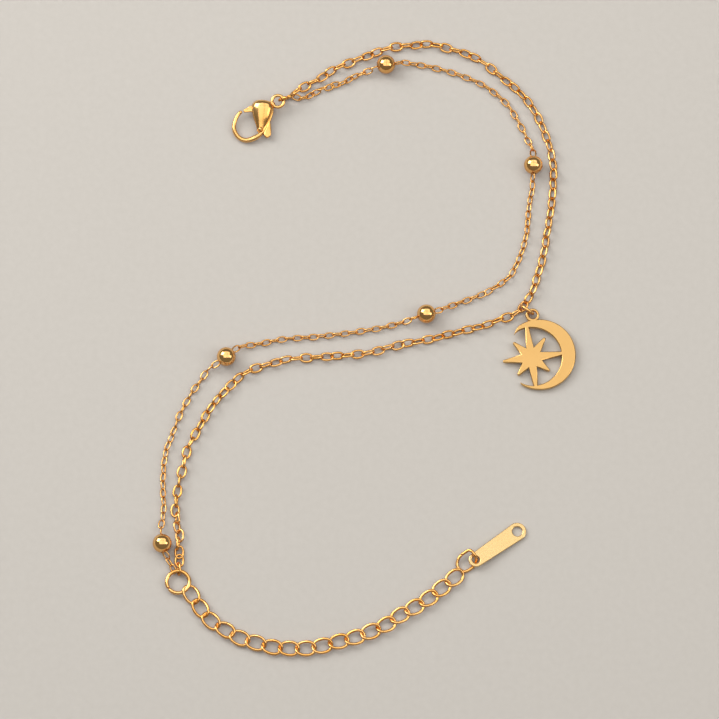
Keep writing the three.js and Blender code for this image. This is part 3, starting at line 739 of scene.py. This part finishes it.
def ball_surface(middle, angle):
    """A meridian from lip to lip turned round the bore's axis. The lips are small rounds that
    lead from the ball's skin into the straight bore, so the surface closes on itself."""
    start = math.asin((BEAD_BORE_RADIUS + BEAD_LIP) / BEAD_RADIUS)
    skin = np.linspace(start, math.pi - start, 44)
    radius = BEAD_RADIUS * np.sin(skin)
    height = BEAD_RADIUS * np.cos(skin)
    lip = np.radians(np.linspace(20, 90, 5))
    lip_radius = BEAD_BORE_RADIUS + BEAD_LIP * (1 - np.sin(lip))
    lip_height = height[0] - BEAD_LIP * (1 - np.cos(lip)) * 0.9
    profile_radius = np.concatenate([radius, lip_radius, lip_radius[::-1]])
    profile_height = np.concatenate([height, -lip_height, lip_height[::-1]])
    turn = np.linspace(0, 2 * math.pi, 72, endpoint=False)
    around, upward = profile_radius[:, None] * np.cos(turn), profile_radius[:, None] * np.sin(turn)
    direction = math.radians(angle)
    along = profile_height[:, None]
    return middle + MM * np.stack([
        along * math.cos(direction) - around * math.sin(direction),
        along * math.sin(direction) + around * math.cos(direction),
        upward,
    ], -1)


for number, angle in enumerate(BEAD_BORE_ANGLE, 1):
    low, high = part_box(f"bead_{number}")
    middle = (np.array(low) + np.array(high)) / 2
    mesh = grid_mesh(f"ball_{number}_mesh", [(ball_surface(middle, angle)[None], True)])
    fitted(f"ball_{number}", mesh, bead_metal, [f"bead_{number}"])

# ---- Pendant ----
# A crescent with an eight-rayed star and a loop, cut from one plate, its face brushed to a
# fine satin and its edges tumbled round and bright. The tag is cut and finished likewise.

EDGE_ROUGHNESS = 0.15
BRUSH_STRETCH = 0.12
BRUSH_GRAIN = 9000.0
BRUSH_DEPTH = 8e-7
CLOUD_GRAIN = 220.0


def satin_plate(name, bright, deep, roughness, streaks_along):
    """Satin gold plate: stretched noise for the brushing in roughness and bump, and slow
    cloudy noise for the handling marks in its colour."""
    material, nodes, links, shader, where = started_material(name)
    shader.inputs["Metallic"].default_value = 1.0
    brushed = nodes.new("ShaderNodeMapping")
    brushed.inputs["Rotation"].default_value = (0.0, 0.0, streaks_along)
    brushed.inputs["Scale"].default_value = (BRUSH_STRETCH, 1.0, 1.0)
    links.new(where, brushed.inputs["Vector"])
    streak = noise(nodes, links, brushed.outputs["Vector"], BRUSH_GRAIN, 3.0)
    cloud = noise(nodes, links, where, CLOUD_GRAIN, 5.0)
    links.new(two_tones(nodes, links, cloud, deep, bright), shader.inputs["Base Color"])
    gloss = carried(nodes, links, streak, roughness * 0.85, roughness * 1.2)
    edge = nodes.new("ShaderNodeAttribute")
    edge.attribute_name = "edge"
    polish = nodes.new("ShaderNodeMix")
    polish.data_type = "FLOAT"
    polish.inputs["B"].default_value = EDGE_ROUGHNESS
    links.new(edge.outputs["Fac"], polish.inputs["Factor"])
    links.new(gloss, polish.inputs["A"])
    links.new(polish.outputs["Result"], shader.inputs["Roughness"])
    grained(nodes, links, shader, streak, 1.0, BRUSH_DEPTH)
    return material


PLATE_THICKNESS = 0.9
PLATE_EDGE = 0.22
CORNER_STEPS = 6
MOON_RADIUS = 6.45
MOON_HOLLOW_RADIUS = 5.3
MOON_HOLLOW = (-1.38, -0.4)
# The arcs run clockwise between these directions in degrees; from there bows lead to the tips
MOON_ARC = (122, -119)
HOLLOW_ARC = (105, -92)
MOON_UPPER_TIP = (-4.52, 3.68)
MOON_LOWER_TIP = (-3.42, -5.14)
OUTER_UPPER_BOW = (-4.2, 5.0)
OUTER_LOWER_BOW = (-3.42, -5.45)
HOLLOW_UPPER_BOW = (-3.78, 4.48)
HOLLOW_LOWER_BOW = (-2.5, -5.58)
TIP_BLUNTING = np.array([(-0.05, 0.03), (-0.04, -0.04)])
MOON_ROWS = 130
STAR_CENTRE = (-1.47, -0.56)
STAR_WAIST = 1.95
# Each ray's direction in degrees, its reach and half its tip's width; three end in the moon
STAR_RAYS = [
    (8, 5.9, 0.38), (56, 4.38, 0.27), (98, 5.9, 0.38), (139.5, 4.25, 0.27),
    (188, 5.15, 0.27), (233, 4.05, 0.27), (278, 5.65, 0.38), (323, 4.05, 0.27),
]
STAR_PROUD = 0.004
LOOP = (-1.24, 7.22)
LOOP_RADIUS = 1.25
LOOP_HOLE = (-1.16, 7.26)
LOOP_HOLE_RADIUS = 0.7
LOOP_STEPS = 48
LOOP_THINNING = 0.996
PENDANT_TILT = math.radians(3.1)


def pendant_place(points):
    """Points in the plate's own plane and millimetres, tilted about its width and set where
    the crescent's right and lower edges touch its node's box."""
    low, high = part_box("moon_star_pendant")
    cosine, sine = math.cos(PENDANT_TILT), math.sin(PENDANT_TILT)
    half = PLATE_THICKNESS / 2
    middle = np.array([
        high.x - MOON_RADIUS * MM,
        low.y + (MOON_RADIUS * cosine + half * sine) * MM,
        low.z + (MOON_RADIUS * sine + half * cosine) * MM,
    ])
    x, y, z = np.moveaxis(points, -1, 0)
    return np.stack([x, y * cosine - z * sine, y * sine + z * cosine], -1) * MM + middle


def arc(centre, radius, first, last, count):
    """Points on a circle from the first angle to the last, in degrees."""
    turn = np.radians(np.linspace(first, last, count))
    return np.stack([centre[0] + radius * np.cos(turn), centre[1] + radius * np.sin(turn)], 1)


def bowed(start, control, end, count):
    """The parabola from start to end that leans towards the control point."""
    share = np.linspace(0, 1, count)[:, None]
    start, control, end = map(np.asarray, (start, control, end))
    return (1 - share) ** 2 * start + 2 * share * (1 - share) * control + share ** 2 * end


def eased_strip(inner, outer, closed):
    """A plate between two edge lines of equally many points. Each pair of points is joined by
    a section with flat faces and quarter-round corners; open ends round off to a point."""
    middle, reach = (inner + outer) / 2, (outer - inner) / 2
    half = np.linalg.norm(reach, axis=1)[:, None]
    across = reach / half
    corner = np.radians(np.linspace(0, 90, CORNER_STEPS))
    corner = np.concatenate([corner, corner + math.pi / 2, corner + math.pi, corner + 1.5 * math.pi])
    quarter = np.repeat([(1, 1), (-1, 1), (-1, -1), (1, -1)], CORNER_STEPS, 0)
    ease = np.minimum(PLATE_EDGE, 0.9 * half)
    x = quarter[:, 0] * (half - ease) + ease * np.cos(corner)
    z = quarter[:, 1] * (PLATE_THICKNESS / 2 - PLATE_EDGE) + PLATE_EDGE * np.sin(corner)
    flat = middle[:, None] + x[..., None] * across[:, None]
    strip = np.concatenate([flat, np.broadcast_to(z[None, :, None], (*x.shape, 1))], -1)
    if closed:
        return strip
    rounding = np.radians([90, 60, 30])[:, None, None]
    heading = np.diff(middle, axis=0)
    heading /= np.linalg.norm(heading, axis=1)[:, None]
    ends = []
    for row, centre, way, width in (
        (strip[0], middle[0], -heading[0], half[0]), (strip[-1], middle[-1], heading[-1], half[-1]),
    ):
        centre, way = np.append(centre, 0.0), np.append(way, 0.0)
        thinned = row * [0, 0, 1] * (0.4 + 0.6 * np.cos(rounding))
        shrunk = centre + (row - centre) * np.cos(rounding) * [1, 1, 0] + thinned
        shrunk[0] = centre
        ends.append(shrunk + way * width * np.sin(rounding))
    return np.concatenate([ends[0], strip, ends[1][::-1]])


def eased_star():
    """Eight rays, each a round tip joined to the waist's valleys by straight sides. The
    outline is drawn in square to itself for the quarter-round edges, and both faces close
    on the star's centre."""
    round_tip = np.radians(np.linspace(-82, 82, 9))
    outline = []
    for (degrees, reach, tip), (following, _, _) in zip(STAR_RAYS, STAR_RAYS[1:] + STAR_RAYS[:1]):
        turn = math.radians(degrees)
        valley = turn + math.radians((following - degrees) % 360) / 2
        outline.append(np.stack([
            (reach - tip) * math.cos(turn) + tip * np.cos(turn + round_tip),
            (reach - tip) * math.sin(turn) + tip * np.sin(turn + round_tip),
        ], 1))
        outline.append([(STAR_WAIST * math.cos(valley), STAR_WAIST * math.sin(valley))])
    outline = np.vstack(outline)
    side = np.roll(outline, -1, 0) - outline
    normal = np.stack([side[:, 1], -side[:, 0]], 1) / np.linalg.norm(side, axis=1)[:, None]
    before = np.roll(normal, 1, 0)
    inward = -(normal + before) / (1 + (normal * before).sum(1))[:, None]
    corner = np.radians(np.linspace(0, 90, CORNER_STEPS))
    half = PLATE_THICKNESS / 2 + STAR_PROUD
    draw = PLATE_EDGE * (1 - np.cos(corner))
    draw = np.roll(np.concatenate([draw, draw[::-1]]), CORNER_STEPS)
    rise = half - PLATE_EDGE + PLATE_EDGE * np.sin(corner)
    rise = np.roll(np.concatenate([rise, -rise[::-1]]), CORNER_STEPS)
    rows = outline + draw[:, None, None] * inward
    rise = np.broadcast_to(rise[:, None, None], (len(rise), len(outline), 1))
    rows = np.concatenate([rows, rise], -1)
    under = np.broadcast_to([0.0, 0.0, -half], (1, len(outline), 3))
    over = np.broadcast_to([0.0, 0.0, half], (1, len(outline), 3))
    return np.concatenate([under, rows, over]) + [*STAR_CENTRE, 0.0]


FLAT_FACE = 0.9999
EDGE_SPREAD = 6


def set_edge(mesh, face_normal):
    """Keeps the plate's faces flat and its rounds smooth, and stores how far each point's
    surface has turned from the face, from 0 to 1, for the polish of the edges."""
    normals = np.empty(len(mesh.polygons) * 3)
    mesh.polygons.foreach_get("normal", normals)
    flat = np.abs(normals.reshape(-1, 3) @ face_normal) > FLAT_FACE
    mesh.polygons.foreach_set("use_smooth", ~flat)
    turned = np.empty(len(mesh.vertices) * 3)
    mesh.vertex_normals.foreach_get("vector", turned)
    edge = np.clip((1 - np.abs(turned.reshape(-1, 3) @ face_normal)) * EDGE_SPREAD, 0, 1)
    mesh.attributes.new("edge", "FLOAT", "POINT").data.foreach_set("value", edge)
    mesh.update()


outer_arc = arc((0, 0), MOON_RADIUS, *MOON_ARC, 96)
inner_arc = arc(MOON_HOLLOW, MOON_HOLLOW_RADIUS, *HOLLOW_ARC, 90)
outer_edge = np.vstack([
    bowed(MOON_UPPER_TIP, OUTER_UPPER_BOW, outer_arc[0], 14)[:-1], outer_arc,
    bowed(outer_arc[-1], OUTER_LOWER_BOW, MOON_LOWER_TIP, 6)[1:],
])
inner_edge = np.vstack([
    bowed(MOON_UPPER_TIP, HOLLOW_UPPER_BOW, inner_arc[0], 14)[:-1], inner_arc,
    bowed(inner_arc[-1], HOLLOW_LOWER_BOW, MOON_LOWER_TIP, 14)[1:],
])
outer_edge[[0, -1]] += TIP_BLUNTING
inner_edge[[0, -1]] -= TIP_BLUNTING
moon = eased_strip(smooth_route(inner_edge, MOON_ROWS), smooth_route(outer_edge, MOON_ROWS), False)
loop_end = 360 - 360 / LOOP_STEPS
loop = eased_strip(
    arc(LOOP_HOLE, LOOP_HOLE_RADIUS, 0, loop_end, LOOP_STEPS),
    arc(LOOP, LOOP_RADIUS, 0, loop_end, LOOP_STEPS), True,
)
pendant_mesh = grid_mesh("moon_and_star_mesh", [
    (pendant_place(moon)[None], False),
    (pendant_place(eased_star())[None], False),
    (pendant_place(loop * [1, 1, LOOP_THINNING])[None], True),
])
set_edge(pendant_mesh, np.array([0.0, -math.sin(PENDANT_TILT), math.cos(PENDANT_TILT)]))
pendant_metal = satin_plate(
    "satin_gold", (0.725, 0.46, 0.18), (0.67, 0.41, 0.145), roughness=0.34,
    streaks_along=math.radians(20),
)
fitted("moon_and_star", pendant_mesh, pendant_metal, ["moon_star_pendant"])

# ---- Extension chain ----
# A curb chain: open round links of wire, each twisted so that the row lies flat. The clasp
# can be hooked into any of them.

EXTENSION_PITCH = 3.0
EXTENSION_LINK = (3.98, 2.95, 0.54)
EXTENSION_LEVEL = 0.6
EXTENSION = [
    (-32.0, -44.35, 0.6),
    (-31.25, -44.95, 0.55), (-29.35, -47.7, 0.55), (-27.45, -50.1, 0.55), (-24.9, -51.75, 0.55),
    (-22.35, -53.2, 0.55), (-19.45, -54.1, 0.55), (-16.6, -54.85, 0.55), (-13.7, -55.1, 0.55),
    (-11.0, -55.1, 0.55), (-8.1, -54.7, 0.55), (-5.15, -53.95, 0.55), (-2.25, -53.15, 0.55),
    (0.5, -52.1, 0.55), (3.45, -50.8, 0.55), (5.85, -49.15, 0.55), (8.5, -47.6, 0.55),
    (10.95, -46.0, 0.55), (13.4, -44.1, 0.55), (15.9, -42.0, 0.55), (16.6, -41.4, 0.55),
]
EXTENSION_TWIST = math.radians(26)
curb_link = link_shape(*EXTENSION_LINK, 28, 10, EXTENSION_TWIST)
curb_links = laid_links(
    EXTENSION, EXTENSION_PITCH, EXTENSION_LINK, curb_link, twisting((40, 0, 0)), EXTENSION_LEVEL, seed=40,
)
fitted(
    "extension_links", grid_mesh("extension_links_mesh", [(curb_links, True)]),
    wire_metal, ["extension_chain"],
)

# ---- Tag and its link ----
# A bent wire link holds a small tapered plate, round at both ends and pierced twice. The
# plate is bare satin gold with rounded edges.

TAG_NEAR = (19.25, -39.15, 1.0)
TAG_LINK_RADIUS = 0.28
TAG_LINK_CLEARANCE = 0.01
TAG_EDGE = 0.15
RIM_FOLD = math.radians(60)
TAG_LINK = [
    (-2.38, 1.05, 0.0), (-1.32, 1.62, 0.45), (-0.7, 1.35, 0.78), (-0.2, 0.68, 0.72),
    (0.06, 0.08, 0.0), (-0.12, -0.6, -0.7), (-0.6, -1.2, -0.77), (-1.9, -1.95, -0.76),
    (-2.9, -1.5, -0.74), (-3.32, -0.7, -0.6), (-3.12, 0.2, -0.35), (-2.66, 0.82, -0.12),
]
tag_link_line = smooth_route(np.array(TAG_LINK) + TAG_NEAR, 90)
tag_link_line[:, 2] = np.maximum(tag_link_line[:, 2], TAG_LINK_RADIUS + TAG_LINK_CLEARANCE)
tag_link_line = (tag_link_line + SHIFT) * MM
tag_link_plane = np.linalg.svd(tag_link_line - tag_link_line.mean(0))[2][2]
tag_link_surface = swept(tag_link_line, TAG_LINK_RADIUS * MM, TAG_LINK_RADIUS * MM, tag_link_plane, 14)
fitted(
    "tag_wire_link", grid_mesh("tag_wire_link_mesh", [(tag_link_surface[None], False)]),
    wire_metal, ["tag_link"],
)


def eased_plate(node, edge):
    """A copy of the plate's solid with its flat faces whole again and both rims rounded by
    the edge. The faces stay flat, the rounds are smooth."""
    work = bmesh.new()
    work.from_mesh(frame["nodes"][node].data)
    bmesh.ops.remove_doubles(work, verts=work.verts, dist=1e-7)
    bmesh.ops.dissolve_limit(
        work, angle_limit=math.radians(0.5), verts=work.verts, edges=work.edges,
    )
    work.normal_update()
    face_normal = max(work.faces, key=lambda face: face.calc_area() * (face.normal.z > 0)).normal.copy()
    rims = [
        side for side in work.edges
        if len(side.link_faces) == 2 and side.calc_face_angle() > RIM_FOLD
        and abs((side.verts[1].co - side.verts[0].co).normalized().dot(face_normal)) < 0.5
    ]
    bmesh.ops.bevel(
        work, geom=rims, offset=edge, offset_type="OFFSET", segments=4, profile=0.5,
        affect="EDGES", clamp_overlap=False,
    )
    bmesh.ops.recalc_face_normals(work, faces=work.faces)
    mesh = bpy.data.meshes.new(node + "_mesh")
    work.to_mesh(mesh)
    work.free()
    set_edge(mesh, np.array(face_normal))
    return mesh


tag_metal = satin_plate(
    "satin_gold_tag", (0.90, 0.66, 0.33), (0.84, 0.57, 0.25), roughness=0.27,
    streaks_along=math.radians(-36),
)
fitted("bare_tag", eased_plate("tag", TAG_EDGE * MM), tag_metal, ["tag"])
